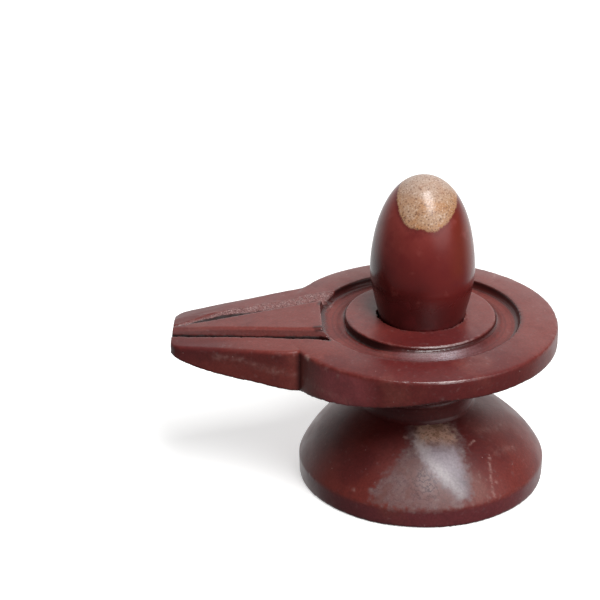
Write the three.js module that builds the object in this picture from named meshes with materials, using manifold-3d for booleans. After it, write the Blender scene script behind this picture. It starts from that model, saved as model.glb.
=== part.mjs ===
// A shiva lingam: an egg-shaped river stone seated in a carved stone yoni base.
// The base is one block: a broad foot, a turned waist and a round table. A ring channel in the
// table drains through two grooves along a spout. The stone stands loose in a socket in the middle.
// Millimetres, +Z up. The origin is the middle of the foot's flat underside, and the spout points
// along -X.

import * as THREE from 'three';
import { mergeVertices } from 'three/addons/utils/BufferGeometryUtils.js';
import Module from 'manifold-3d';

const wasm = await Module();
wasm.setup();

// ---- driving dimensions ----

const FOOT_RADIUS = 39.4;
const FOOT_SIDE = 6.4;          // height of the foot's upright side
const WAIST_RADIUS = 17.6;
const WAIST_HEIGHT = 28.5;      // height of the narrowest place
const SHOULDER_HEIGHT = 25.4;   // where the foot's dome meets the waist

const TABLE_X = -1.5;           // the table stands this far off the foot's centre, towards the spout
const TABLE_RADIUS = 44;
const TABLE_EDGE = 53.6;        // height of the table's outer top edge
const CROWN = 1.4;              // the rim rises this much from its outer edge to the channel
const TABLE_UNDERSIDE = 46.9;   // height of the table's underside, away from the spout

const CHANNEL_RADIUS = 32.3;    // outer edge of the ring channel
const CHANNEL_DEPTH = 2.4;
const BOSS_RADIUS = 23.8;
const BOSS_X = -1.0;
const BOSS_TOP = 55.6;

const SPOUT_ROOT_X = -31.5;     // where the spout's blank starts, inside the table
const SPOUT_CORNER_X = -40;     // where the spout leaves the table's edge
const SPOUT_TIP_X = -79.8;
const SPOUT_ROOT_HALF_WIDTH = 23.9;
const SPOUT_TIP_HALF_WIDTH = 12.3;
const TONGUE_TOP = 55.8;        // height of the raised tongue between the grooves, at its root
const TONGUE_FALL = 0.1;        // fall of that top for each millimetre towards the tip
const RAIL_EDGE_TOP = 54.3;     // height of the spout's outer top edges, at its root
const RAIL_FALL = 0.085;
const RAIL_RISE = 0.8;          // rise of a rail's top from its outer edge to halfway in
const KEEL_HEIGHT = 39.7;       // the lowest place of the table's and spout's underside
const KEEL_RISE_TO_TIP = 0.125; // rise for each millimetre towards the tip
const TIP_CURL_LENGTH = 15;     // the underside curls up over this length of the tip
const TIP_CURL = 2.2;
const TIP_CORNER = 2.4;         // the tip's corners are rounded over this length
const KEEL_END_X = 4.5;         // where the underside reaches its height away from the spout

const GROOVE_WIDTH = 7.2;
const GROOVE_FLOOR_WIDTH = 1.6;
const GROOVE_DEPTH = 3.0;
const GROOVE_ROOT_Y = 13.2;     // distance of a groove's middle from the spout's middle, at the channel
const GROOVE_TIP_Y = 3.6;       // the same at the tip

const STONE_X = -0.6;           // the stone and its socket stand a little off the boss's middle
const STONE_Y = 1.2;
const STONE_RADIUS = 16.6;
const STONE_WIDEST = 68.0;      // height of the stone's widest place
const STONE_TOP = 102.0;
const STONE_FULLNESS = 2.2;     // 2 is an ellipse, and more is a blunter end
const STONE_NECK_RADIUS = 13.7; // where the stone enters the socket
const STONE_BOTTOM = 44.2;
const STONE_SPOT_RADIUS = 4;    // the small flat spot that it rests on
const SEAT_GAP = 0.35;          // room between the stone and its socket

// ---- helpers ----

// A closed geometry becomes a solid that can be joined and cut. Triangles that have no area, such as
// those at the pole of a turned shape, are left out.
function solid(geometry) {
  const bare = geometry.clone();
  bare.deleteAttribute('normal');
  bare.deleteAttribute('uv');
  const merged = mergeVertices(bare, 1e-3);
  const corners = merged.index.array;
  const kept = [];
  for (let i = 0; i < corners.length; i += 3) {
    const [a, b, c] = corners.subarray(i, i + 3);
    if (a !== b && b !== c && c !== a) kept.push(a, b, c);
  }
  const vertProperties = new Float32Array(merged.attributes.position.array);
  return new wasm.Manifold(new wasm.Mesh({ numProp: 3, vertProperties, triVerts: new Uint32Array(kept) }));
}

// A profile of [radius, height] pairs, from the bottom of the axis to its top, turned about an axis
// that stands at x, y.
function turned(profile, segments, x = 0, y = 0) {
  const points = profile.map(([radius, height]) => new THREE.Vector2(radius, height));
  const geometry = new THREE.LatheGeometry(points, segments);
  geometry.rotateX(Math.PI / 2);
  geometry.translate(x, y, 0);
  return geometry;
}

function moveVertices(geometry, move) {
  const position = geometry.attributes.position;
  const vertex = new THREE.Vector3();
  for (let i = 0; i < position.count; i += 1) {
    move(vertex.fromBufferAttribute(position, i));
    position.setXYZ(i, vertex.x, vertex.y, vertex.z);
  }
  return geometry;
}

function pairs(curve, divisions) {
  return curve.getPoints(divisions).map((point) => [point.x, point.y]);
}

// ---- foot and waist: turned, and leaning over a little to carry the table ----

function footAndWaist() {
  const dome = new THREE.CubicBezierCurve(
    new THREE.Vector2(FOOT_RADIUS, FOOT_SIDE),
    new THREE.Vector2(FOOT_RADIUS - 2.6, FOOT_SIDE + 5.6),
    new THREE.Vector2(WAIST_RADIUS + 12.5, SHOULDER_HEIGHT - 4.4),
    new THREE.Vector2(WAIST_RADIUS + 0.8, SHOULDER_HEIGHT),
  );
  const profile = [
    [0, 0],
    [FOOT_RADIUS - 0.7, 0],
    [FOOT_RADIUS - 0.1, 0.7],
    ...pairs(dome, 9),
    [WAIST_RADIUS, WAIST_HEIGHT],
    [WAIST_RADIUS + 0.5, WAIST_HEIGHT + 2.6],
    [WAIST_RADIUS + 1.2, WAIST_HEIGHT + 3.2],
    [WAIST_RADIUS + 0.9, WAIST_HEIGHT + 4.2],
    [WAIST_RADIUS + 1.9, WAIST_HEIGHT + 4.9],
    [WAIST_RADIUS + 3.4, WAIST_HEIGHT + 8],
    [WAIST_RADIUS + 8, WAIST_HEIGHT + 12],
    [WAIST_RADIUS + 15, WAIST_HEIGHT + 15],
    [WAIST_RADIUS + 21, TABLE_UNDERSIDE - 0.6],
    [WAIST_RADIUS + 21, TABLE_UNDERSIDE + 1],
    [0, TABLE_UNDERSIDE + 1],
  ];
  const geometry = moveVertices(turned(profile, 64), (vertex) => {
    vertex.x += TABLE_X * THREE.MathUtils.smoothstep(vertex.z, FOOT_SIDE, WAIST_HEIGHT);
  });
  return solid(geometry);
}

// ---- table and spout: a round slab, crowned on top, with a blank that narrows to a tip ----

const BLANK_BOTTOM = KEEL_HEIGHT - 4;  // both reach below the underside, which is cut afterwards

function table() {
  const rimWidth = TABLE_RADIUS - CHANNEL_RADIUS;
  const profile = [
    [0, BLANK_BOTTOM],
    [TABLE_RADIUS, BLANK_BOTTOM],
    [TABLE_RADIUS, TABLE_EDGE - 0.5],
    [TABLE_RADIUS - 0.5, TABLE_EDGE + 0.1],
    [TABLE_RADIUS - rimWidth * 0.3, TABLE_EDGE + CROWN * 0.55],
    [TABLE_RADIUS - rimWidth * 0.7, TABLE_EDGE + CROWN],
    [0, TABLE_EDGE + CROWN],
  ];
  return solid(turned(profile, 72, TABLE_X));
}

function tongueTop(x) {
  return TONGUE_TOP + TONGUE_FALL * (x - SPOUT_ROOT_X);
}

// "across" is 0 in the middle of the spout and 1 at its side.
function railTop(x, across) {
  return RAIL_EDGE_TOP + RAIL_FALL * (x - SPOUT_ROOT_X) + RAIL_RISE * (1 - across) * 2;
}

function spoutHalfWidth(x) {
  const straight = THREE.MathUtils.mapLinear(
    x, SPOUT_CORNER_X, SPOUT_TIP_X, SPOUT_ROOT_HALF_WIDTH, SPOUT_TIP_HALF_WIDTH,
  );
  const roundedAway = Math.max(0, SPOUT_TIP_X + TIP_CORNER - x) ** 2 / (TIP_CORNER * 1.3);
  return straight - roundedAway;
}

function spoutBlank() {
  // The section across the spout, 1 wide to each side and 1 high. The step between the tongue and
  // each rail lies inside a groove.
  const stepTongue = 0.48;
  const stepRail = 0.52;
  const section = new THREE.Shape();
  section.moveTo(-1, 0);
  section.lineTo(1, 0);
  for (const across of [1, stepRail, stepTongue, -stepTongue, -stepRail, -1]) {
    section.lineTo(across, 1);
  }
  const stations = [0, TIP_CORNER / 3, (TIP_CORNER * 2) / 3, TIP_CORNER, SPOUT_ROOT_X - SPOUT_TIP_X];
  const steps = stations.length - 1;
  const blank = new THREE.ExtrudeGeometry(section, { depth: steps, steps, bevelEnabled: false });
  return solid(moveVertices(blank, (vertex) => {
    const across = vertex.x;
    const isTop = vertex.y > 0.5;
    const isTongue = Math.abs(across) <= stepTongue;
    const x = SPOUT_TIP_X + stations[Math.round(vertex.z)];
    const top = isTongue ? tongueTop(x) : railTop(x, Math.abs(across));
    vertex.x = x;
    vertex.y = across * spoutHalfWidth(x);
    vertex.z = isTop ? top : BLANK_BOTTOM + 1;
  }));
}

// What is cut away below: the underside rises from the keel towards the tip, where it curls up, and
// towards the far side of the table.
function underneath() {
  const outline = new THREE.Shape();
  const past = 4;
  outline.moveTo(SPOUT_TIP_X - past, 0);
  outline.lineTo(TABLE_RADIUS + past, 0);
  outline.lineTo(TABLE_RADIUS + past, TABLE_UNDERSIDE);
  outline.lineTo(KEEL_END_X, TABLE_UNDERSIDE);
  outline.lineTo(SPOUT_CORNER_X, KEEL_HEIGHT);
  const curlStart = SPOUT_TIP_X + TIP_CURL_LENGTH;
  const divisions = 6;
  for (let i = 0; i <= divisions; i += 1) {
    const x = THREE.MathUtils.lerp(curlStart, SPOUT_TIP_X - past, i / divisions);
    const curl = (curlStart - x) / TIP_CURL_LENGTH;
    outline.lineTo(x, KEEL_HEIGHT + KEEL_RISE_TO_TIP * (SPOUT_CORNER_X - x) + TIP_CURL * curl * curl);
  }
  const width = TABLE_RADIUS * 2 + past;
  const cutter = new THREE.ExtrudeGeometry(outline, { depth: width, bevelEnabled: false });
  cutter.translate(0, 0, -width / 2);
  cutter.rotateX(Math.PI / 2);
  return solid(cutter);
}

// ---- cuts in the top: a pan for the ring channel, two grooves along the spout, the socket ----

function channelPan() {
  const rim = TABLE_EDGE + CROWN;
  const profile = [
    [0, rim - CHANNEL_DEPTH],
    [CHANNEL_RADIUS - 2, rim - CHANNEL_DEPTH],
    [CHANNEL_RADIUS - 1.3, rim - CHANNEL_DEPTH + 0.5],
    [CHANNEL_RADIUS - 0.2, rim - 0.3],
    [CHANNEL_RADIUS + 0.2, rim + 0.1],
    [CHANNEL_RADIUS + 0.2, rim + 6],
    [0, rim + 6],
  ];
  return solid(turned(profile, 72, TABLE_X));
}

function boss() {
  const floor = TABLE_EDGE + CROWN - CHANNEL_DEPTH;
  const profile = [
    [0, floor - 0.6],
    [BOSS_RADIUS + 5.5, floor - 0.6],
    [BOSS_RADIUS + 2.5, floor + 0.4],
    [BOSS_RADIUS + 1.1, floor + 1.4],
    [BOSS_RADIUS, BOSS_TOP - 0.3],
    [BOSS_RADIUS - 0.5, BOSS_TOP],
    [0, BOSS_TOP],
  ];
  return solid(turned(profile, 72, BOSS_X));
}

// A flat-bottomed V, cut from above along one side of the tongue. It gets deeper towards the channel.
function groove(side) {
  const above = 4;  // reaches this far above the tongue's top
  const section = new THREE.Shape();
  section.moveTo(-1, 0);
  section.lineTo(1, 0);
  section.lineTo(1, 1);
  section.lineTo(-1, 1);
  const start = SPOUT_TIP_X - 3;
  const end = TABLE_X - CHANNEL_RADIUS * 0.88;
  const cutter = new THREE.ExtrudeGeometry(section, { depth: 1, bevelEnabled: false });
  moveVertices(cutter, (vertex) => {
    const across = vertex.x;
    const isTop = vertex.y > 0.5;
    const x = THREE.MathUtils.lerp(start, end, vertex.z);
    const middle = THREE.MathUtils.mapLinear(x, SPOUT_TIP_X, SPOUT_ROOT_X, GROOVE_TIP_Y, GROOVE_ROOT_Y);
    const depth = GROOVE_DEPTH * THREE.MathUtils.mapLinear(x, SPOUT_TIP_X, SPOUT_ROOT_X, 0.65, 1);
    const flare = (GROOVE_WIDTH - GROOVE_FLOOR_WIDTH) / 2 / depth;
    const halfWidth = GROOVE_FLOOR_WIDTH / 2 + (isTop ? flare * (depth + above) : 0);
    vertex.x = x;
    vertex.y = side * middle + across * halfWidth;
    vertex.z = tongueTop(x) - 0.4 + (isTop ? above : -depth);
  });
  return solid(cutter);
}

// The stone's lower end, from the axis up to where it enters the socket, enlarged by a gap.
function lowerEnd(gap) {
  const curve = new THREE.QuadraticBezierCurve(
    new THREE.Vector2(STONE_SPOT_RADIUS + gap, STONE_BOTTOM - gap),
    new THREE.Vector2(STONE_NECK_RADIUS - 2 + gap, STONE_BOTTOM + 2.4 - gap),
    new THREE.Vector2(STONE_NECK_RADIUS + gap, BOSS_TOP),
  );
  return [[0, STONE_BOTTOM - gap], ...pairs(curve, 6)];
}

function socket() {
  const profile = [
    ...lowerEnd(SEAT_GAP),
    [STONE_NECK_RADIUS + SEAT_GAP * 2, BOSS_TOP + 0.5],
    [STONE_NECK_RADIUS + SEAT_GAP * 2, BOSS_TOP + 6],
    [0, BOSS_TOP + 6],
  ];
  return solid(turned(profile, 48, STONE_X, STONE_Y));
}

// ---- the stone: tapered below its widest place, and a blunt half-egg above it ----

function lingamStone() {
  const divisions = 15;
  const upper = (step) => {
    const angle = (Math.PI / 2) * (step / divisions);
    const radius = STONE_RADIUS * Math.cos(angle) ** (2 / STONE_FULLNESS);
    const rise = (STONE_TOP - STONE_WIDEST) * Math.sin(angle) ** (2 / STONE_FULLNESS);
    return new THREE.Vector2(step === divisions ? 0 : radius, STONE_WIDEST + rise);
  };
  const taper = (STONE_RADIUS - STONE_NECK_RADIUS) / (STONE_WIDEST - BOSS_TOP);
  const taperLength = 7;
  const widest = new THREE.QuadraticBezierCurve(
    new THREE.Vector2(STONE_NECK_RADIUS + taper * taperLength, BOSS_TOP + taperLength),
    new THREE.Vector2(STONE_RADIUS, STONE_WIDEST),
    upper(1),
  );
  const profile = [...lowerEnd(0), ...pairs(widest, 5)];
  for (let step = 2; step <= divisions; step += 1) {
    const point = upper(step);
    profile.push([point.x, point.y]);
  }
  return solid(turned(profile, 48, STONE_X, STONE_Y));
}

function yoniBase() {
  return table()
    .add(spoutBlank())
    .subtract(underneath())
    .add(footAndWaist())
    .subtract(channelPan())
    .subtract(groove(1))
    .subtract(groove(-1))
    .add(boss())
    .subtract(socket());
}

// ---- scene graph ----

function mesh(name, body, material) {
  const { vertProperties, triVerts } = body.getMesh();
  const geometry = new THREE.BufferGeometry();
  geometry.setAttribute('position', new THREE.BufferAttribute(vertProperties, 3));
  geometry.setIndex(new THREE.BufferAttribute(triVerts, 1));
  geometry.computeVertexNormals();
  const result = new THREE.Mesh(geometry, material);
  result.name = name;
  return result;
}

const object = new THREE.Group();
object.add(
  mesh('yoni_base', yoniBase(), new THREE.MeshStandardMaterial({
    color: 0x7a3a36,
    roughness: 0.4,
    metalness: 0,
  })),
  mesh('lingam_stone', lingamStone(), new THREE.MeshStandardMaterial({
    color: 0x6e2825,
    roughness: 0.2,
    metalness: 0,
  })),
);

export default object;
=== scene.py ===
import math

import bmesh
import bpy
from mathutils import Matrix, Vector, geometry, kdtree, noise


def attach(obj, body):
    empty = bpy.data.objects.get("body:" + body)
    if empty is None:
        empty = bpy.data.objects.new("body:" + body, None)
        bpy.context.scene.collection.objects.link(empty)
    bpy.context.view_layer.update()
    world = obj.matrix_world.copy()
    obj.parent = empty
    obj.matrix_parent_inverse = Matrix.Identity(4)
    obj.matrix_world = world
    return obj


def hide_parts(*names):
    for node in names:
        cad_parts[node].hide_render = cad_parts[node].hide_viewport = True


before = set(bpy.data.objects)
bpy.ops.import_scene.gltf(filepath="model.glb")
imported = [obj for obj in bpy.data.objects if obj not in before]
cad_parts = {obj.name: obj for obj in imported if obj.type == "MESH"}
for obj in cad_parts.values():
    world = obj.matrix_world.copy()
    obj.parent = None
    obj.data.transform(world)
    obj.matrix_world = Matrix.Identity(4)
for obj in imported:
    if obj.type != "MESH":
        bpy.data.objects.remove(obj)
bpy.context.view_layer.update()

scene = bpy.context.scene

# ---- The view ----
# A long lens looks down on the table from the front, by a little over a quarter of a right angle,
# and from a shade to the spout's side.

camera_data = bpy.data.cameras.new("view")
camera_data.lens = 162
camera_data.sensor_width = 36
camera_data.clip_end = 20
camera = bpy.data.objects.new("view", camera_data)
camera.location = (-0.0391, -0.7687, 0.4276)
camera.rotation_euler = (math.radians(64.47), 0, 0)
scene.collection.objects.link(camera)
scene.camera = camera

# ---- The yoni base: its foot and waist ----
# The base is one block of red jasper. Its foot is a broad dome on a short upright side. It was turned,
# and it runs up into a narrow waist with small rings, which leans a little towards the spout.
# Its shapes are worked in millimetres, and the finished piece is brought to metres.

MM = 0.001
FOOT_RADIUS = 39.4
FOOT_SIDE = 6.4
WAIST_RADIUS = 17.6
WAIST_HEIGHT = 28.5
SHOULDER_HEIGHT = 25.4
TABLE_X = -1.5
TABLE_UNDERSIDE = 46.9


def curve(first, handle_1, handle_2, last, pieces):
    """Points along a curve through a profile of [radius, height] pairs."""
    ends = [Vector((radius, 0, height)) for radius, height in (first, handle_1, handle_2, last)]
    return [(point.x, point.z) for point in geometry.interpolate_bezier(*ends, pieces + 1)]


def turned(profile, steps, x=0.0, y=0.0):
    """A closed solid turned from a profile that starts and ends on its axis, which stands at x, y."""
    bm = bmesh.new()
    verts = [bm.verts.new((radius, 0, height)) for radius, height in profile]
    edges = [bm.edges.new(pair) for pair in zip(verts, verts[1:])]
    bmesh.ops.spin(
        bm, geom=verts + edges, cent=(0, 0, 0), axis=(0, 0, 1), angle=math.tau, steps=steps, use_merge=True,
    )
    bmesh.ops.remove_doubles(bm, verts=bm.verts, dist=0.001)
    bmesh.ops.recalc_face_normals(bm, faces=bm.faces)
    bmesh.ops.translate(bm, verts=bm.verts, vec=(x, y, 0))
    return bm


def placed(bm, name):
    """An object in the scene, made from a bmesh that isn't needed any more."""
    mesh = bpy.data.meshes.new(name)
    bm.to_mesh(mesh)
    bm.free()
    made = bpy.data.objects.new(name, mesh)
    scene.collection.objects.link(made)
    return made


def clamped(value):
    """The value, but never below 0 or above 1."""
    return min(max(value, 0), 1)


foot_shape = turned(
    [(0, 0), (FOOT_RADIUS - 0.8, 0), (FOOT_RADIUS - 0.2, 0.5)]
    + curve(
        (FOOT_RADIUS, FOOT_SIDE),
        (FOOT_RADIUS - 2.6, FOOT_SIDE + 5.6),
        (WAIST_RADIUS + 12.5, SHOULDER_HEIGHT - 4.4),
        (WAIST_RADIUS + 0.8, SHOULDER_HEIGHT),
        pieces=40,
    )
    + [
        (WAIST_RADIUS + 0.1, SHOULDER_HEIGHT + 1),
        (WAIST_RADIUS, WAIST_HEIGHT),
        (WAIST_RADIUS + 0.3, WAIST_HEIGHT + 2.4),
        (WAIST_RADIUS + 1.3, WAIST_HEIGHT + 2.8),
        (WAIST_RADIUS + 1.3, WAIST_HEIGHT + 3.6),
        (WAIST_RADIUS + 0.8, WAIST_HEIGHT + 4.2),
        (WAIST_RADIUS + 2.1, WAIST_HEIGHT + 4.8),
    ]
    + curve(
        (WAIST_RADIUS + 2.3, WAIST_HEIGHT + 5.6),
        (WAIST_RADIUS + 4, WAIST_HEIGHT + 10.5),
        (WAIST_RADIUS + 8, WAIST_HEIGHT + 14.5),
        (WAIST_RADIUS + 20, TABLE_UNDERSIDE - 0.6),
        pieces=16,
    )
    + [(WAIST_RADIUS + 20, TABLE_UNDERSIDE + 1.5), (0, TABLE_UNDERSIDE + 1.5)],
    steps=200,
)
for vert in foot_shape.verts:
    lean = clamped((vert.co.z - FOOT_SIDE) / (WAIST_HEIGHT - FOOT_SIDE))
    vert.co.x += TABLE_X * lean * lean * (3 - 2 * lean)

# ---- The yoni base: its table and spout ----
# The table is a thick round slab, crowned on top. The spout leaves one side of it, narrows to a blunt
# tip and falls towards it. Below, the slab is deepest at the spout's corner. One flat cut rises from
# there to the tip, and another to the table's level underside.

TABLE_RADIUS = 44
TABLE_EDGE = 53.6
RIM = 55.0
SPOUT_ROOT_X = -31.5
SPOUT_CORNER_X = -40
SPOUT_CORNER_Y = 23.9
SPOUT_TAPER = 0.2925
SPOUT_TIP_X = -79.8
FRONT_BEND_X = -47
TONGUE_HEIGHT = 55.8
TONGUE_SLOPE = 0.1
RAIL_HEIGHT = 54.3
RAIL_SLOPE = 0.085
RAIL_CROWN = 1.6
RAIL_ROUND = 1.2
KEEL_HEIGHT = 39.7
KEEL_SLOPE = 0.125
KEEL_END_X = 4.5
TIP_CURL = 2.2
TIP_CURL_LENGTH = 15
BLANK_BOTTOM = KEEL_HEIGHT - 4

table_shape = turned(
    [(0, BLANK_BOTTOM), (TABLE_RADIUS, BLANK_BOTTOM), (TABLE_RADIUS, TABLE_EDGE - 0.4)]
    + curve(
        (TABLE_RADIUS - 0.3, TABLE_EDGE + 0.1),
        (TABLE_RADIUS - 3, TABLE_EDGE + 0.9),
        (TABLE_RADIUS - 7, RIM - 0.05),
        (TABLE_RADIUS - 11, RIM),
        pieces=12,
    )
    + [(0, RIM)],
    steps=240,
    x=TABLE_X,
)

# Places along the spout, and there the half width of the raised tongue between the grooves, and the
# inner edges of the front rail and of the back one, whose groove closes up near the tip.
GROOVE_STATIONS = [
    (-84.0, 0.2, 5.6, 0.9),
    (-77.5, 0.5, 6.9, 1.4),
    (-73.5, 1.3, 8.0, 3.3),
    (-68.5, 1.9, 8.9, 6.2),
    (-62.5, 3.1, 9.9, 9.6),
    (-50.0, 5.9, 12.3, 12.3),
    (-39.0, 8.3, 15.2, 15.2),
    (-30.0, 9.8, 17.6, 17.6),
]


def at_station(x, column):
    """One column of the stations, at any place along the spout."""
    for low, high in zip(GROOVE_STATIONS, GROOVE_STATIONS[1:]):
        if x <= high[0]:
            break
    share = (x - low[0]) / (high[0] - low[0])
    return low[column] + (high[column] - low[column]) * share


def tongue_top(x):
    return TONGUE_HEIGHT + TONGUE_SLOPE * (x - SPOUT_ROOT_X)


def rail_top(x, across):
    """across is 0 in the middle of the spout and 1 at its side."""
    return RAIL_HEIGHT + RAIL_SLOPE * (x - SPOUT_ROOT_X) + RAIL_CROWN * (1 - across)


def spout_half_width(x):
    """It narrows evenly, and the last 3 mm are rounded off."""
    return SPOUT_CORNER_Y - SPOUT_TAPER * (SPOUT_CORNER_X - x) - max(0, SPOUT_TIP_X + 3 - x) ** 2 / 4


def lofted(sections):
    """A closed solid carried through a row of sections, all with the same number of points."""
    bm = bmesh.new()
    end = bm.faces.new([bm.verts.new(place) for place in sections[0]])
    for number, section in enumerate(sections[1:]):
        made = bmesh.ops.extrude_face_region(bm, geom=[end])["geom"]
        if number:
            bmesh.ops.delete(bm, geom=[end], context="FACES_ONLY")
        end = next(piece for piece in made if isinstance(piece, bmesh.types.BMFace))
        for vert, place in zip(end.verts, section):
            vert.co = place
    bmesh.ops.recalc_face_normals(bm, faces=bm.faces)
    return bm


# The front side bends a little before it reaches the table. The inner half of the width is as high as
# the tongue, whose sides are cut free by the grooves.
spout_sections = []
near_tip = [SPOUT_TIP_X, SPOUT_TIP_X + 0.6, SPOUT_TIP_X + 1.4, SPOUT_TIP_X + 3]
for x in near_tip + [FRONT_BEND_X, -45, -43, -41, -39, SPOUT_ROOT_X]:
    section = []
    for side in (1, -1):
        width = spout_half_width(x)
        if side < 0:
            width -= 0.025 * max(0, x - FRONT_BEND_X) ** 2
        half = [(width, BLANK_BOTTOM + 1)]
        for step in range(6):
            angle = step * math.pi / 10
            edge_height = rail_top(x, 1) - RAIL_ROUND * (1 - math.sin(angle))
            half.append((width - RAIL_ROUND * (1 - math.cos(angle)), edge_height))
        half += [(0.52 * width, rail_top(x, 0.52)), (0.48 * width, tongue_top(x))]
        section += [(x, side * across, height) for across, height in half[::side]]
    spout_sections.append(section)
spout_shape = lofted(spout_sections)

underside = [(TABLE_RADIUS + 4, 0), (TABLE_RADIUS + 4, TABLE_UNDERSIDE), (KEEL_END_X, TABLE_UNDERSIDE)]
for number in range(12):
    x = SPOUT_CORNER_X - (SPOUT_CORNER_X - SPOUT_TIP_X + 4) * number / 11
    curl = max(0, (SPOUT_TIP_X + TIP_CURL_LENGTH - x) / TIP_CURL_LENGTH)
    underside.append((x, KEEL_HEIGHT + KEEL_SLOPE * (SPOUT_CORNER_X - x) + TIP_CURL * curl * curl))
underside.append((SPOUT_TIP_X - 4, 0))
underside_cut = lofted([[(x, side, height) for x, height in underside] for side in (-50, 50)])

# ---- The yoni base: what is cut into its top ----
# A ring channel with a hollowed flank runs around a low round boss. Two grooves drain it along the
# spout's tongue. They were chiselled, and the front one ends in a deep narrow slot beside its rail.
# The stone's socket is sunk into the boss.

CHANNEL_RADIUS = 32
CHANNEL_FLOOR = RIM - 2.35
BOSS_X = -1.0
BOSS_RADIUS = 23.8
BOSS_TOP = 55.6
TONGUE_END_HALF_WIDTH = 9.2
SOCKET_X = -0.6
SOCKET_Y = 1.2
STONE_BOTTOM = 44.2
FLAT_SPOT_RADIUS = 4
NECK_RADIUS = 13.7
SEAT_GAP = 0.35

channel_cut = turned(
    [
        (0, CHANNEL_FLOOR),
        (CHANNEL_RADIUS - 1.8, CHANNEL_FLOOR),
        (CHANNEL_RADIUS - 0.9, CHANNEL_FLOOR + 0.25),
        (CHANNEL_RADIUS - 0.4, CHANNEL_FLOOR + 0.8),
        (CHANNEL_RADIUS - 0.05, RIM - 0.3),
        (CHANNEL_RADIUS + 0.1, RIM + 0.05),
        (CHANNEL_RADIUS + 0.2, RIM + 6),
        (0, RIM + 6),
    ],
    steps=240,
    x=TABLE_X,
)
boss_shape = turned(
    [(0, CHANNEL_FLOOR - 1), (BOSS_RADIUS + 5.7, CHANNEL_FLOOR - 1)]
    + curve(
        (BOSS_RADIUS + 4.8, CHANNEL_FLOOR - 0.1),
        (BOSS_RADIUS + 3.6, CHANNEL_FLOOR + 0.05),
        (BOSS_RADIUS + 2.9, CHANNEL_FLOOR + 0.1),
        (BOSS_RADIUS + 2.2, CHANNEL_FLOOR + 0.5),
        pieces=8,
    )
    + [
        (BOSS_RADIUS + 0.6, CHANNEL_FLOOR + 1.65),
        (BOSS_RADIUS + 0.1, CHANNEL_FLOOR + 1.8),
        (BOSS_RADIUS, BOSS_TOP - 0.3),
        (BOSS_RADIUS - 0.4, BOSS_TOP),
        (0, BOSS_TOP),
    ],
    steps=240,
    x=BOSS_X,
)


def groove_depth(x):
    """The grooves are shallower towards the tip."""
    return 0.45 + 0.55 * min(1, (x + 84) / 30)


def groove_cut(side, section, rail_column, root):
    """A cutter along one side of the tongue. The section gives shares of the way from the tongue to the
    rail, and depths. The root is the place and half widths where it opens into the channel."""
    sections = []
    for x, tongue, *rails in GROOVE_STATIONS[:-1] + [root]:
        rail = rails[rail_column]
        level = tongue_top(x)
        places = [(share, level - depth * groove_depth(x)) for share, depth in section]
        places += [(places[-1][0] + 0.1, level + 4), (-0.12, level + 4)]
        places = [(tongue + share * (rail - tongue), height) for share, height in places]
        sections.append([(x, side * across, height) for across, height in places])
    return lofted(sections)


front_section = [(0, -0.05), (0.18, 0.45), (0.56, 1.5), (0.59, 4.0), (0.92, 4.2), (1, 0.9)]
front_groove = groove_cut(-1, front_section, 0, GROOVE_STATIONS[-1])
back_section = [(0, -0.05), (0.08, 2.7), (0.22, 2.9), (0.7, 1.4), (1, 0.5), (1.4, -0.7)]
back_groove = groove_cut(1, back_section, 1, (-27, 10.4, 18.6, 18.6))

# The tongue's end stands a little into the channel, slanting.
end_sections = []
for front_x, back_x in ((-42, -42), (-32.1, -32.9)):
    end_sections.append(
        [
            (front_x, -TONGUE_END_HALF_WIDTH, CHANNEL_FLOOR - 1),
            (back_x, TONGUE_END_HALF_WIDTH, CHANNEL_FLOOR - 1),
            (back_x, TONGUE_END_HALF_WIDTH, tongue_top(back_x)),
            (front_x, -TONGUE_END_HALF_WIDTH, tongue_top(front_x)),
        ]
    )
tongue_end = lofted(end_sections)

socket_cut = turned(
    [(0, STONE_BOTTOM - SEAT_GAP)]
    + curve(
        (FLAT_SPOT_RADIUS + SEAT_GAP, STONE_BOTTOM - SEAT_GAP),
        (10 + SEAT_GAP, STONE_BOTTOM + 1.1),
        (13 + SEAT_GAP, STONE_BOTTOM + 4.8),
        (NECK_RADIUS + SEAT_GAP, BOSS_TOP),
        pieces=16,
    )
    + [(NECK_RADIUS + SEAT_GAP, BOSS_TOP + 6), (0, BOSS_TOP + 6)],
    steps=160,
    x=SOCKET_X,
    y=SOCKET_Y,
)

base_block = placed(table_shape, "base block")
joins_and_cuts = [
    ("UNION", spout_shape),
    ("DIFFERENCE", underside_cut),
    ("UNION", foot_shape),
    ("DIFFERENCE", channel_cut),
    ("UNION", tongue_end),
    ("DIFFERENCE", front_groove),
    ("DIFFERENCE", back_groove),
    ("UNION", boss_shape),
    ("DIFFERENCE", socket_cut),
]
tools = []
for operation, shape in joins_and_cuts:
    step = base_block.modifiers.new(operation.lower(), "BOOLEAN")
    step.operation = operation
    step.solver = "EXACT"
    step.object = placed(shape, "tool")
    tools.append(step.object)


def finished_mesh(made):
    """The mesh that an object has with its modifiers."""
    bpy.context.view_layer.update()
    return bpy.data.meshes.new_from_object(made.evaluated_get(bpy.context.evaluated_depsgraph_get()))


sharp_block = bpy.data.objects.new("sharp block", finished_mesh(base_block))
scene.collection.objects.link(sharp_block)

# ---- The yoni base: how its surface is worked and worn ----
# The block gets an even fine mesh that keeps the block's own edges, and then what hand carving and
# handling leave: edges rounded and nicked, faces that aren't quite true, and chisel marks where
# nothing was polished.

FINE = 0.44
TRIANGLES = 190000
SHARP_TURN = 0.38
LINE_STEP = 0.1
even = sharp_block.modifiers.new("even", "REMESH")
even.mode = "VOXEL"
even.voxel_size = FINE
trued = sharp_block.modifiers.new("trued", "SHRINKWRAP")
trued.target = base_block
worked = finished_mesh(sharp_block)

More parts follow.
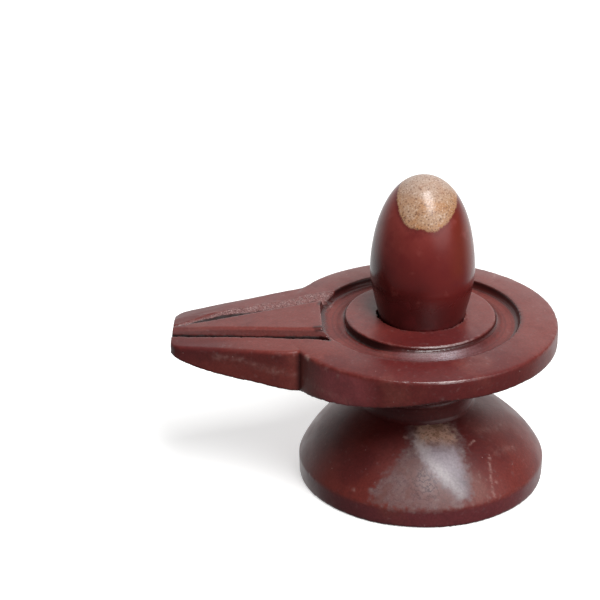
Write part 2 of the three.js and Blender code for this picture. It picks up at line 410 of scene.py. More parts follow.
# The spout's back side runs into the table in a smooth hollow. Its front side meets it in a sharp one.
BACK_CORNER = Vector((-38.1, 24.45))
outer_lines = []
inner_lines = []
bm = bmesh.new()
bm.from_mesh(sharp_block.data)
for edge in bm.edges:
    turn = edge.calc_face_angle_signed(0) if edge.is_manifold else 0
    if abs(turn) > SHARP_TURN and min(face.calc_area() for face in edge.link_faces) > 0.002:
        first, last = (vert.co for vert in edge.verts)
        upright = abs(first.z - last.z) > (first.xy - last.xy).length
        if upright and (first.xy - BACK_CORNER).length < 3:
            continue
        pieces = max(1, round(edge.calc_length() / LINE_STEP))
        lines = outer_lines if turn > 0 else inner_lines
        lines += [first.lerp(last, piece / pieces) for piece in range(pieces)]
bm.free()
for used in [base_block, sharp_block, *tools]:
    bpy.data.objects.remove(used)


def finder(points):
    """Finds the nearest of many points."""
    tree = kdtree.KDTree(len(points))
    for number, point in enumerate(points):
        tree.insert(point, number)
    tree.balance()
    return tree


# What lies close to a sharp line is brought onto it, so that the even mesh keeps the line.
ALL_AXES = {"use_axis_x": True, "use_axis_y": True, "use_axis_z": True}
nearest_outer = finder(outer_lines)
nearest_inner = finder(inner_lines)
bm = bmesh.new()
bm.from_mesh(worked)
held = []
for vert in bm.verts:
    nearest = min(nearest_outer.find(vert.co), nearest_inner.find(vert.co), key=lambda found: found[2])
    if nearest[2] < 0.52 * FINE:
        vert.co = nearest[0]
        held.append(vert)
bmesh.ops.remove_doubles(bm, verts=held, dist=0.2 * FINE)
bmesh.ops.connect_verts(bm, verts=[vert for vert in held if vert.is_valid])
bmesh.ops.smooth_vert(bm, verts=bm.verts, factor=0.3, **ALL_AXES)
in_corner = [vert for vert in bm.verts if (vert.co.xy - BACK_CORNER).length < 5]
for _ in range(30):
    bmesh.ops.smooth_vert(bm, verts=in_corner, factor=0.5, use_axis_x=True, use_axis_y=True)

# Hands have rubbed the outermost edges rounder than the rest.
outermost = [vert for vert in bm.verts if vert.co.xy.length > 36]
outermost = [vert for vert in outermost if vert.co.x > -28 or abs(vert.co.y) > 19]
handled = [vert for vert in outermost if nearest_outer.find(vert.co)[2] < 0.6]
for _ in range(5):
    bmesh.ops.smooth_vert(bm, verts=handled, factor=0.5, **ALL_AXES)
bm.normal_update()


def groove_marks(place):
    """How rough a groove's surface is, and how much painted shade darkens it. Both are 0 outside the
    grooves.
    """
    groove_end = -30.6 if place.y < 0 else -28.5 + noise.noise(place / 1.5)
    if place.x > groove_end or place.z < 48:
        return 0, 0
    tongue = at_station(place.x, 1)
    rail = at_station(place.x, 2 if place.y < 0 else 3)
    across = (abs(place.y) - tongue) / (rail - tongue)
    below = tongue_top(place.x) - place.z
    within = clamped(min(across * 8 + 0.4, (1.08 - across) * 8, (below - 0.25) * 3))
    if place.y < 0:
        in_slot = below - (1.36 + 0.2 * noise.noise(place / 3)) * groove_depth(place.x)
        return 0.12 * within, within * max(0.36 * clamped((below - 0.2) * 2.5), clamped(in_slot / 0.2))
    from_edge = 0.477 * (abs(place.y) - tongue) - below
    reach = 1.15 * clamped((place.x + 75) / 6) * clamped((-50 - place.x) / 14)
    reach += 0.25 * noise.noise(place / 2.5)
    return within, within * clamped((reach - from_edge) / 0.2) * clamped((-33 - place.x) / 2)


def ring_distances(place):
    """How far a place is from the table's axis and from the boss's. Over the spout both are 0, because
    neither the channel nor the boss reaches it."""
    if place.x < -28:
        return 0, 0
    return math.hypot(place.x - TABLE_X, place.y), math.hypot(place.x - BOSS_X, place.y)


# The stone nearly fills its socket. The gap is open and ragged on the front left, and the lip is chipped
# on the front right.
OPEN_SIDE = Vector((-0.85, -0.53))
CHIPPED_SIDE = Vector((0.78, -0.62))
LIP_WIDTH = 1.1


def lip_wear(place):
    """How far a place is part of the socket's lip and of its chips, and where the worn lip has it."""
    from_stone = place.xy - Vector((SOCKET_X, SOCKET_Y))
    from_lip = abs(from_stone.length - NECK_RADIUS - SEAT_GAP)
    lip = clamped(1 - from_lip / LIP_WIDTH) * clamped((place.z - 52.5) / 1.5)
    if not lip:
        return 0, 0, place
    outward = from_stone.normalized()
    open_side = clamped((outward.dot(OPEN_SIDE) - 0.72) * 6)
    chipped = lip * clamped((outward.dot(CHIPPED_SIDE) - 0.86) * 12)
    gap = 0.05 + open_side * (0.35 + 0.9 * max(0, noise.noise(place / 1.6)))
    return lip, chipped, place - outward.to_3d() * (SEAT_GAP - gap) * lip


def corner_shade(place):
    """How much painted shade darkens a sharp corner. There is little around the waist, and none high up
    where the spout's front side meets the table."""
    strength = 0.72
    front_corner = clamped(1 - abs(place.x + 39.3) / 4) * clamped(-place.y - 18)
    if front_corner:
        strength = 0.52 * clamped(53.4 - place.z)
    elif 20 < place.z < 46 and place.xy.length < 30:
        strength = 0.2
    return strength * clamped(1 - nearest_inner.find(place)[2] / (1.4 + 1.2 * front_corner))


def wall_shade(place, from_middle):
    """How much painted shade darkens the table's top: at the tongue's end, on the channel's outer wall,
    where it is most at the back, and at the channel's back left."""
    at_end = clamped((-29.8 - place.x + 1.2 * noise.noise(place / 1.2)) / 2.2)
    at_end *= clamped((54.6 - place.z) * 2) * clamped(place.x + 33.6) * clamped(11 - abs(place.y))
    on_wall = clamped(3.4 - 2 * abs(from_middle - CHANNEL_RADIUS + 0.2))
    on_wall *= clamped((RIM + 0.04 - place.z) * 8)
    on_wall *= 0.3 + 0.7 * clamped(place.z - CHANNEL_FLOOR - 0.4)
    on_wall *= 0.3 + 0.7 * clamped((place.y + 16) / 10)
    back_left = clamped((place.y - 12) / 8) * clamped((-6 - place.x) / 5) * clamped(place.x + 27)
    back_left *= clamped((from_middle - CHANNEL_RADIUS + 3.8) / 2.6)
    back_left *= clamped(CHANNEL_RADIUS + 1 - from_middle) * clamped((RIM - 0.3 - place.z) * 4)
    return max(0.7 * at_end, 0.84 * on_wall, 0.62 * back_left)


def boss_shade(place, from_boss, front_left):
    """How much painted shade darkens the boss's flank, and the hollow at its front left and its right."""
    on_flank = clamped((BOSS_RADIUS + 1.3 - from_boss) * 2) * (0.6 + 0.4 * front_left)
    on_flank *= 1 - 0.65 * clamped((place.y + 9) / 6) * clamped((abs(place.x) - 15) / 4)
    hollow_shade = clamped((BOSS_RADIUS + 4 + 1.6 * noise.noise(place / 1.1) - from_boss) / 3)
    hollow_shade *= max(front_left, 0.8 * clamped((place.x - 9) / 8))
    return max(on_flank, 0.4 * hollow_shade)


# How deep the wear goes, in millimetres, and how far the tip leans back on each millimetre across it.
NICK_DEPTH = 0.14
CHISEL_DEPTH = 0.24
CHIP_DEPTH = 0.5
UNEVEN_DEPTH = 0.10
FRONT_LEFT_DEPTH = 1.3
TIP_SLANT = 0.04
# Each place gets its edge and roughness, and also where painted shade (hollow) and painted highlights
# (glint, cove) go.
wear_and_painted_light = {name: bm.verts.layers.float.new(name) for name in ("edge", "rough", "hollow", "glint", "cove")}
plain = bm.verts.layers.deform.verify()
for vert in bm.verts:
    # What the place is a part of, from 0 to 1.
    place = vert.co
    edge = max(0, 1 - nearest_outer.find(place)[2] / 0.8)
    marks, groove_shade = groove_marks(place)
    from_middle, from_boss = ring_distances(place)
    on_top = clamped(place.z - 50.5)
    ring_edge = clamped(1.2 - abs(from_middle - CHANNEL_RADIUS)) * on_top * clamped((12 - place.y) / 8)
    boss_edge = clamped(2 - abs(from_boss - BOSS_RADIUS)) * on_top
    at_tongue_end = clamped(1 - abs(place.x + 32.5) / 0.9) * clamped(10.5 - abs(place.y))
    at_tongue_end *= clamped(place.z - 53.5)

    # Edges are nicked, most of all at the tongue's end and around the boss.
    nick = noise.noise(place / 2.3) + 0.6 * noise.noise(place / 0.9)
    depth = edge * max(0, nick - 0.3) * (NICK_DEPTH + 0.25 * at_tongue_end + 0.18 * boss_edge)
    depth += ring_edge * 0.2 * clamped((place.z - 53.6) / 1.2) * noise.noise(place)
    edge *= 1 - clamped(3 - 3 * abs(from_middle - CHANNEL_RADIUS)) * on_top

    # The grooves keep their chisel marks, and no face is quite true.
    depth += marks * (CHISEL_DEPTH * noise.noise(place / 1.1) + 0.2 * noise.noise(place / 2.8))
    depth += UNEVEN_DEPTH * noise.noise(place / 14) + 0.03 * noise.noise(place / 5)
    lip, chipped, place = lip_wear(place)
    depth += chipped * (0.25 + CHIP_DEPTH * noise.noise(place / 0.8))

    # Painted shade darkens the corners, the grooves' depths, the channel's outer wall and the hollow beside
    # the boss.
    front_left = clamped((-8 - place.x) / 8) * clamped((1 - place.y) / 9)
    under_boss = clamped((BOSS_TOP - 0.22 - place.z) * 6) * clamped((from_boss - BOSS_RADIUS + 0.6) * 4)
    under_boss *= on_top
    painted_shade = max(groove_shade, corner_shade(place), on_top * wall_shade(place, from_middle))
    painted_shade = max(painted_shade, under_boss * boss_shade(place, from_boss, front_left))

    # Painted highlights: a glint along the front edges of the table's top, and a pale lilac sheen in the
    # cove in front of the boss.
    in_front = clamped((-place.y - 14) / 4)
    glint_zone = clamped(1 - abs(place.x - 6) / 20) * in_front
    in_cove = clamped(2.6 - abs(from_boss - BOSS_RADIUS - 2.2)) * clamped((55 - place.z) * 2) * on_top
    cove_sheen_strength = 0.35 * clamped(1.6 - abs(place.x - 4) / 9) + 0.65 * clamped(1.2 - abs(place.x - 6.5) / 5)
    vert[wear_and_painted_light["edge"]] = edge
    vert[wear_and_painted_light["rough"]] = max(marks, 0.5 * chipped, 0.8 * at_tongue_end, 0.3 * ring_edge)
    vert[wear_and_painted_light["hollow"]] = painted_shade
    vert[wear_and_painted_light["glint"]] = glint_zone * on_top * clamped(1.4 * edge - 0.4)
    vert[wear_and_painted_light["cove"]] = in_cove * cove_sheen_strength * in_front
    vert[plain][0] = 1 - max(clamped(1.5 * edge), marks, painted_shade, lip)
    vert.co = place - vert.normal * depth

    # The hollow under the boss is cut deeper on its front left, and the tip is worn slanting.
    beside_boss = clamped((from_boss - BOSS_RADIUS - 0.15) * 3)
    beside_boss *= clamped((BOSS_RADIUS + 2.1 - from_boss) / 1.5)
    vert.co.z -= FRONT_LEFT_DEPTH * front_left * under_boss * beside_boss
    vert.co.x += TIP_SLANT * (place.y + 10) * clamped((-74 - place.x) / 5)

# The foot stands on one flat face.
for vert in bm.verts:
    if vert.co.z < 0.12:
        vert.co.z = 0
flat = [face for face in bm.faces if all(vert.co.z == 0 for vert in face.verts)]
bmesh.ops.dissolve_faces(bm, faces=flat, use_verts=True)
bmesh.ops.triangulate(bm, faces=bm.faces)

# The plain surfaces are thinned out. That can leave a few stray faces on an edge, which are taken away.
dense = placed(bm, "dense base")
dense.vertex_groups.new(name="plain surface")
thinned = dense.modifiers.new("thinned", "DECIMATE")
thinned.ratio = TRIANGLES / len(dense.data.polygons)
thinned.vertex_group = "plain surface"
bm = bmesh.new()
bm.from_mesh(finished_mesh(dense))
bpy.data.objects.remove(dense)
for _ in range(3):
    loose = {face for edge in bm.edges if edge.is_boundary for face in edge.link_faces}
    bmesh.ops.delete(bm, geom=list(loose), context="FACES")
    bmesh.ops.collapse(bm, edges=[edge for edge in bm.edges if len(edge.link_faces) > 2])

# A pale natural patch lies on the foot's front. Its outlines are [across, height] on the dome: the whole
# patch, an ochre end under the waist, and a wedge of chalky quartz with a bright vein along one side.
PATCH = [(-4.2, 25.7), (2.8, 27.1), (8.7, 25.2), (11.7, 22.6), (12.9, 19.6), (13.6, 15.9), (14.7, 11.7)]
PATCH += [(13.9, 8.2), (9.4, 6.9), (2.2, 6.3), (-4.4, 6.3), (-11.1, 6.9), (-16.4, 7.7), (-17.2, 9.8)]
PATCH += [(-13.7, 13.4), (-11, 16.4), (-9.2, 18.5), (-6.5, 20.5), (-5.1, 22.5), (-5.6, 24.2)]
OCHRE = [(-2.5, 25.6), (2.0, 26.9), (5.2, 25.6), (8.6, 23.9), (9.9, 22.2), (9.3, 21.6), (5.2, 22)]
OCHRE += [(0.7, 22.1), (-2, 21.4), (-2.6, 22.6), (-2.3, 24.1)]
QUARTZ = [(-2.6, 22.4), (0.7, 21.6), (5.2, 21.6), (9.3, 20.9), (11.4, 17.8), (12.9, 13.4), (13.6, 9.4)]
QUARTZ += [(10.6, 9.3), (6.6, 12.2), (2.5, 15.8), (-0.8, 19.2)]
SCRAPED = [(13.5, 15.5), (17, 14), (20, 10.5), (19.8, 8), (16.5, 7.2), (14.2, 8.3)]
VEIN = [(-2.2, 22.6), (0.2, 20.1), (3.4, 17.2), (7.2, 14.2), (11.4, 10.6)]

# Pale veins, scratches and chips: the half width of each, its strength, and the points it passes through.
PALE_LINES = [
    (0.9, 0.42, [(-66, -16.4, 48.6), (-59.3, -18.3, 49.2), (-53.1, -20.1, 47.7)]),
    (0.9, 0.42, [(-53.1, -20.1, 47.7), (-46.9, -21.9, 46.5), (-40, -22, 45.6)]),
    (0.9, 0.35, [(-38.2, -24.4, 45.2), (-33.6, -30.1, 44.9), (-28.4, -34.8, 44.6), (-23.8, -37.9, 43.8)]),
    (1.8, 0.3, [(17.8, -15.9, 22.2), (21.7, -12.9, 21.4), (26.2, -7.4, 20.0)]),
    (1.6, 0.2, [(18.4, -14.2, 22.6), (22.2, -10.9, 21.6), (25.3, -7.1, 20.6)]),
    (1.8, 0.26, [(22.2, -21.2, 17.4), (25.5, -18.1, 16.7), (28.5, -15.0, 15.8)]),
    (0.28, 0.9, [(13.9, -22.6, 20.7), (15.8, -20.5, 21.1)]),
    (0.4, 0.8, [(-6.4, -22.3, 23.4), (-5.7, -22.6, 23.3)]),
    (0.4, 0.8, [(-22.5, -30.4, 9.2), (-22.1, -30.9, 9.0)]),
    (0.34, 0.75, [(20.4, -23.8, 16.8), (20.7, -28.2, 13.1), (21.3, -31.5, 8.8), (22.2, -32, 7.3)]),
    (0.35, 0.8, [(22.3, -28.7, 11.3), (22.8, -28.9, 10.7)]),
    (0.7, 1.0, [(-37.3, -25.6, 53.2), (-36.6, -26.2, 53)]),
    (0.4, 0.8, [(-31.4, -32.2, 52.1), (-31.2, -32.4, 52)]),
    (0.5, 0.9, [(-27.5, -35.5, 51.7), (-27.4, -35.6, 51.6)]),
    (0.4, 0.7, [(-27.5, -35.5, 46.9), (-27.4, -35.6, 46.8)]),
    (0.9, 0.4, [(23.5, 28.7, 54.7), (25.4, 32.5, 54)]),
]


def beside(place, line):
    """How far a place is from a line through points."""
    nearest = 1000
    for first, last in zip(line, line[1:]):
        span = last - first
        share = clamped((place - first).dot(span) / span.length_squared)
        nearest = min(nearest, (first + span * share - place).length)
    return nearest


def inside(place, outline):
    """How far a place lies inside a closed flat outline, below 0 outside it."""
    within = False
    for first, last in zip(outline, outline[1:] + outline[:1]):
        if (first.y > place.y) != (last.y > place.y):
            crossing = first.x + (place.y - first.y) * (last.x - first.x) / (last.y - first.y)
            within ^= place.x < crossing
    distance = beside(place, outline + outline[:1])
    return distance if within else -distance


outlines = {"patch": PATCH, "ochre": OCHRE, "quartz": QUARTZ, "scraped": SCRAPED}
outlines = {name: [Vector(point) for point in outline] for name, outline in outlines.items()}
layers = {name: bm.verts.layers.float.new(name) for name in [*outlines, "vein", "pale", "channel"]}
vein = [Vector(point) for point in VEIN]
# Every place is given how far inside the outlines it lies, and how near to the veins and scratches.
pale_lines = [(width, strength, [Vector(point) for point in line]) for width, strength, line in PALE_LINES]
for vert in bm.verts:
    place = vert.co
    on_dome = place.y < 0 and 5 < place.z < 25.6 and abs(place.x) < 22
    across = Vector((place.x, place.z))
    for name, outline in outlines.items():
        vert[layers[name]] = inside(across, outline) if on_dome else -5
    vert[layers["vein"]] = max(0, 1 - beside(across, vein) / 2.8) if on_dome else 0
    closest = 0
    for width, strength, line in pale_lines:
        if (place - line[0]).length < 32:
            closest = max(closest, strength * (1 - beside(place, line) / (2 * width)))
    vert[layers["pale"]] = closest
    radius = math.hypot(place.x - TABLE_X, place.y)
    in_ring = clamped(radius - BOSS_RADIUS - 0.5) * clamped(CHANNEL_RADIUS + 0.3 - radius)
    vert[layers["channel"]] = in_ring * clamped(RIM + 0.2 - place.z) * clamped(place.z - 50)


def finished_piece(bm, name):
    """A piece of the object, smooth and brought from millimetres to metres."""
    bmesh.ops.scale(bm, verts=bm.verts, vec=(MM, MM, MM))
    for face in bm.faces:
        face.smooth = True
    return placed(bm, name)


yoni_base = finished_piece(bm, "yoni_base_carved")

# ---- The yoni base: carved red jasper ----
# Jasper, ground and rubbed by hand to a dull gloss. It is brown red, with cloudy darker and browner
# zones, and paler with no gloss where it was left rough. Painted shade darkens its corners and hollows.

JASPER_IOR = 1.54


def colour(hex_value):
    """An sRGB hex colour, as linear light."""
    parts = [int(hex_value[place:place + 2], 16) / 255 for place in (1, 3, 5)]
    return [part / 12.92 if part <= 0.04045 else ((part + 0.055) / 1.055) ** 2.4 for part in parts] + [1]


def add(kind, *inputs, **settings):
    """A node with its settings, and with its inputs set or linked in order. Returns its main output."""
    node = nodes.new("ShaderNode" + kind)
    for name, value in settings.items():
        setattr(node, name, value)
    for socket, value in zip([socket for socket in node.inputs if socket.enabled], inputs):
        if isinstance(value, bpy.types.NodeSocket):
            nodes.id_data.links.new(value, socket)
        else:
            socket.default_value = value
    return next(output for output in node.outputs if output.enabled)


SOFT = {"interpolation_type": "SMOOTHSTEP"}
LAID = {"data_type": "RGBA"}
TIMES = {"operation": "MULTIPLY"}
TIMES_PLUS = {"operation": "MULTIPLY_ADD"}
PLUS = {"operation": "ADD"}
MINUS = {"operation": "SUBTRACT"}
AWAY = {"operation": "DISTANCE"}


def tinted(ground, *tints):
    """A ground colour with tints laid over it, one after another. Each has a pattern, the values where
    it starts and where it is full, its strength, and its hex colour."""
    for pattern, start, full, strength, tint in tints:
        share = add("MapRange", pattern, start, full, 0, strength, **SOFT)
        ground = add("Mix", share, ground, colour(tint), **LAID)
    return ground


# Each pattern's size is in millimetres. The real grain of jasper is too fine to show, so grain and
# crumbs are drawn as coarse as they need to show.
jasper = bpy.data.materials.new("carved red jasper")
jasper.use_nodes = True
nodes = jasper.node_tree.nodes
coordinates = add("TexCoord").node.outputs["Object"]
parts = add("SeparateXYZ", coordinates).node.outputs
clouds = add("TexNoise", coordinates, 1 / (16 * MM), 5)
blotches = add("TexNoise", coordinates, 1 / (5 * MM), 5)
ragged = add("TexNoise", coordinates, 1 / (1.6 * MM), 5)
grain = add("TexNoise", coordinates, 1 / (0.7 * MM), 3)
crumbs = add("TexNoise", coordinates, 1 / (0.4 * MM), 2)
fields = {name: add("Attribute", attribute_name=name).node.outputs["Fac"] for name in (*wear_and_painted_light, *layers)}
unevenness = add("Math", ragged, 0.5, **MINUS)

# It is redder at the front, and browner away from it over the table's sides.
from_front = add("VectorMath", coordinates, (4 * MM, -34 * MM, 40 * MM), **AWAY)
stone = tinted(colour("#662423"), (from_front, 22 * MM, 40 * MM, 1, "#7b342e"))
from_left_side = add("VectorMath", coordinates, (-26 * MM, -35 * MM, 48 * MM), **AWAY)
redder = add("MapRange", from_left_side, 15 * MM, 4 * MM, 0, 0.8, **SOFT)
redder = add("Math", redder, add("MapRange", parts["Z"], 53.4 * MM, 52 * MM, **SOFT), **TIMES)
stone = add("Mix", redder, stone, colour("#a45054"), **LAID)
by_patch = add("VectorMath", coordinates, (-9 * MM, -29 * MM, 19 * MM), **AWAY)
stone = tinted(
    stone,
    (parts["Z"], 7 * MM, 5 * MM, 0.5, "#6b303c"),
    (by_patch, 13 * MM, 3 * MM, 0.5, "#8c4844"),
)
# Painted shade: the spout's sides are darker just below the table's top edge.
over_spout = add("MapRange", parts["X"], -38 * MM, -46 * MM, **SOFT)
spout_shade = add("MapRange", parts["Z"], 45 * MM, 50 * MM, 0.1, 0.5, **SOFT)
spout_shade = add("Math", spout_shade, add("MapRange", parts["Z"], 53 * MM, 51.5 * MM, **SOFT), **TIMES)
stone = add("Mix", add("Math", over_spout, spout_shade, **TIMES), stone, colour("#501c1e"), **LAID)
stone = tinted(
    stone,
    (clouds, 0.5, 0.7, 0.5, "#582125"),
    (clouds, 0.45, 0.3, 0.5, "#82423a"),
    (blotches, 0.55, 0.72, 0.2, "#4e1d20"),
)

# The patch on the foot is ochre at its top. It is mauve with dark cracks elsewhere, and chalky quartz
# lies over a part of it. Their borders wander by a few millimetres.
ochre = tinted(
    colour("#cfa28c"),
    (grain, 0.48, 0.68, 0.85, "#785241"),
    (blotches, 0.46, 0.36, 0.7, "#d8bca8"),
    (blotches, 0.52, 0.62, 0.7, "#855c46"),
)
mauve = tinted(
    colour("#866866"),
    (grain, 0.53, 0.7, 0.7, "#553c42"),
    (grain, 0.43, 0.3, 0.45, "#b09a98"),
    (blotches, 0.48, 0.62, 0.7, "#7c5650"),
)
cracks = add("Math", add("TexNoise", coordinates, 1 / (2 * MM), 3), 0.5, **MINUS)
cracks = add("MapRange", add("Math", cracks, operation="ABSOLUTE"), 0.06, 0, **SOFT)
crackled = add("VectorMath", coordinates, (0, -33 * MM, 12 * MM), **AWAY)
crackled = add("MapRange", crackled, 7 * MM, 3 * MM, 0.25, 0.9, **SOFT)
mauve = add("Mix", add("Math", cracks, crackled, **TIMES), mauve, colour("#46303a"), **LAID)
quartz = tinted(
    colour("#84767e"),
    (ragged, 0.46, 0.64, 1, "#6c5e66"),
    (parts["Z"], 12 * MM, 20 * MM, 1, "#b0a2aa"),
)
zones = {}
for name, wander, softness in (
    ("patch", 3.0, 1.5),
    ("ochre", 2.2, 1.7),
    ("quartz", 1.6, 2.0),
    ("scraped", 2.0, 1.6),
):
    moved = add("Math", unevenness, 2 * wander, fields[name], **TIMES_PLUS)
    zones[name] = add("MapRange", moved, -softness, softness, **SOFT)
stone = add("Mix", add("Math", zones["scraped"], 0.6, **TIMES), stone, colour("#86544c"), **LAID)
cover = add("Math", zones["patch"], add("MapRange", blotches, 0.3, 0.6, 0.95, 0.75, **SOFT), **TIMES)
stone = add("Mix", cover, stone, mauve, **LAID)
stone = add("Mix", zones["ochre"], stone, ochre, **LAID)
stone = add("Mix", zones["quartz"], stone, quartz, **LAID)
bright_vein = add("Math", unevenness, 1.6, fields["vein"], **TIMES_PLUS)
stone = tinted(stone, (bright_vein, 0.1, 1, 0.3, "#d6ccc9"))

# Then come pale scratches, crushed grains in the rough places, rubbed edges, a painted glint on the
# front edges, a painted sheen in the cove, and painted shade in the corners and hollows.
pale = add("Math", fields["pale"], add("MapRange", ragged, 0.35, 0.65, 0.5, 1, **SOFT), **TIMES)
stone = tinted(stone, (pale, 0, 0.8, 0.85, "#b48a82"))
crushed = tinted(
    colour("#8d6866"),
    (crumbs, 0.5, 0.66, 0.8, "#4c302f"),
    (crumbs, 0.42, 0.3, 0.8, "#bfa6a3"),
)
left_rough = add("Math", fields["rough"], add("MapRange", ragged, 0.62, 0.4, 0.55, 1, **SOFT), **TIMES)
stone = add("Mix", left_rough, stone, crushed, **LAID)
worn = add("MapRange", fields["edge"], 0.5, 1, **SOFT)
worn = add("Math", worn, add("MapRange", ragged, 0.42, 0.6, 0, 0.25, **SOFT), **TIMES)
stone = add("Mix", worn, stone, colour("#8c5a54"), **LAID)
# Painted highlight: a pale glint along the front edges of the table's top.
edge_glint = add("MapRange", fields["glint"], 0.35, 0.95, 0, 0.75, **SOFT)
edge_glint = add("Math", edge_glint, add("MapRange", ragged, 0.4, 0.56, 0.45, 1, **SOFT), **TIMES)
stone = add("Mix", edge_glint, stone, colour("#d3c1c0"), **LAID)
# Painted highlight: a pale lilac sheen in the cove in front of the boss.
cove_sheen = add("Math", fields["cove"], add("MapRange", crumbs, 0.35, 0.65, 0.35, 0.8, **SOFT), **TIMES)
stone = add("Mix", cove_sheen, stone, colour("#b0a1a8"), **LAID)
# Painted shade: dark red where the hollow field is weak, and near black where it is strong.
stone = tinted(stone, (fields["hollow"], 0, 0.6, 0.9, "#471715"))
dark = add("MapRange", fields["hollow"], 0.42, 1, 0, 0.96, **SOFT)
stone = add("Mix", dark, stone, colour("#210605"), **LAID)

# Small pale pits are strewn over the stone.
pits = add("TexVoronoi", coordinates, 1 / (2.6 * MM)).node.outputs
chosen = add("MapRange", add("SeparateColor", pits["Color"]), 0.78, 0.82, **SOFT)
pitted = add("Math", chosen, add("MapRange", pits["Distance"], 0.09, 0.05, **SOFT), **TIMES)
stone = add("Mix", add("Math", pitted, 0.5, **TIMES), stone, colour("#c49a92"), **LAID)

# The turning tool left fine rings around the table's middle, and dark dust lies in them.
centred = add("Mapping", coordinates, (-TABLE_X * MM, 0, 0), (0, 0, 0), (1, 1, 0))
radius = add("VectorMath", centred, operation="LENGTH")
rings = add("TexNoise", radius, 1 / MM, 2, noise_dimensions="1D")
dust = add("Math", fields["channel"], add("MapRange", rings, 0.5, 0.66, 0, 0.3, **SOFT), **TIMES)
stone = add("Mix", dust, stone, colour("#4a1c1c"), **LAID)
grain_shade = add("MapRange", grain, 0.25, 0.75, 0.86, 1.14, **SOFT)
stone = add("Mix", 1, stone, grain_shade, blend_type="MULTIPLY", **LAID)

gloss = add("MapRange", blotches, 0.3, 0.7, 0.31, 0.41, **SOFT)
for zone, roughness in (
    (zones["patch"], 0.46),
    (zones["quartz"], 0.38),
    (fields["channel"], 0.52),
    (fields["edge"], 0.3),
    (left_rough, 0.85),
    (add("MapRange", fields["hollow"], 0.1, 0.5, **SOFT), 0.27),
    (dark, add("MapRange", parts["X"], -33 * MM, -34 * MM, 0.3, 0.7)),
):
    gloss = add("Mix", zone, gloss, roughness)

relief = add("Math", grain, 0.03, **TIMES)
relief = add("Math", add("Math", ragged, 0.25, **TIMES), fields["rough"], relief, **TIMES_PLUS)
relief = add("Math", pitted, -0.05, relief, **TIMES_PLUS)
ring_depth = add("MapRange", fields["channel"], 0, 1, 0.01, 0.07, **SOFT)
ring_depth = add("Math", ring_depth, add("MapRange", fields["hollow"], 0.05, 0.4, 1, 0.1, **SOFT), **TIMES)
relief = add("Math", rings, ring_depth, relief, **TIMES_PLUS)


def surfaced(tint, gloss, relief):
    """Gives a jasper its colour, its roughness, and its relief in millimetres."""
    shader = nodes["Principled BSDF"]
    shader.inputs["IOR"].default_value = JASPER_IOR
    bump = nodes.new("ShaderNodeBump")
    bump.inputs["Distance"].default_value = MM
    for source, target in (
        (tint, shader.inputs["Base Color"]),
        (gloss, shader.inputs["Roughness"]),
        (relief, bump.inputs["Height"]),
        (bump.outputs["Normal"], shader.inputs["Normal"]),
    ):
        nodes.id_data.links.new(source, target)


surfaced(stone, gloss, relief)
yoni_base.data.materials.append(jasper)
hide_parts("yoni_base")
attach(yoni_base, "root")

# ---- The lingam stone ----
# A river stone of red jasper, shaped by rolling in the water and then polished. It is slightly
# tapered below its widest place, and stands on a small flat spot in the base's socket.

STONE_RADIUS = 16.6
STONE_WIDEST = 68.0
STONE_TOP = 102.0
STONE_FULLNESS = 2.2
CROWN_START = math.radians(6)


def upper_stone(angle):
    """The outline above the widest place: an oval that is a little fuller than an ellipse."""
    radius = STONE_RADIUS * math.cos(angle) ** (2 / STONE_FULLNESS)
    rise = (STONE_TOP - STONE_WIDEST) * math.sin(angle) ** (2 / STONE_FULLNESS)
    return (radius, STONE_WIDEST + rise)


taper = (STONE_RADIUS - NECK_RADIUS) / (STONE_WIDEST - BOSS_TOP)
profile = [(0, STONE_BOTTOM)] + curve(
    (FLAT_SPOT_RADIUS, STONE_BOTTOM),
    (10, STONE_BOTTOM + 0.8),
    (13, STONE_BOTTOM + 4.8),
    (NECK_RADIUS, BOSS_TOP),
    pieces=24,
)
profile += [(NECK_RADIUS + taper * rise, BOSS_TOP + rise) for rise in range(1, 7)]
profile += curve(
    (NECK_RADIUS + taper * 7, BOSS_TOP + 7),
    (STONE_RADIUS - taper * 2, STONE_WIDEST - 2),
    (STONE_RADIUS, STONE_WIDEST + 1),
    upper_stone(CROWN_START),
    pieces=12,
)
for number in range(1, 60):
    profile.append(upper_stone(CROWN_START + (math.pi / 2 - CROWN_START) * number / 60))
profile.append((0, STONE_TOP))
bm = turned(profile, steps=160, x=SOCKET_X, y=SOCKET_Y)
bm.normal_update()
for vert in bm.verts:
    vert.co -= vert.normal * 0.12 * clamped((vert.co.z - 50) / 12) * noise.noise(vert.co / 17)

# A tan natural patch lies on its crown, towards the front. The outline is seen from above.
CROWN = [(-8.8, -0.3), (-9.3, -3.8), (-8.6, -7.5), (-6.7, -10.4), (-4.0, -11.7), (0.8, -12.4), (3.9, -11.5)]
CROWN += [(7.2, -8.8), (9.3, -4.6), (9.7, 1), (8.8, 4.5), (5.5, 7.2), (1, 8.4), (-4, 7.4), (-7.4, 4)]
crown = bm.verts.layers.float.new("crown")
crown_outline = [Vector(point) for point in CROWN]
for _ in range(2):
    sides = list(zip(crown_outline, crown_outline[1:] + crown_outline[:1]))
    crown_outline = [first.lerp(last, part) for first, last in sides for part in (0.25, 0.75)]
for vert in bm.verts:
    vert[crown] = inside(vert.co.xy, crown_outline) / max(0.4, vert.normal.z) if vert.co.z > 80 else -8
lingam_stone = finished_piece(bm, "lingam_stone_polished")

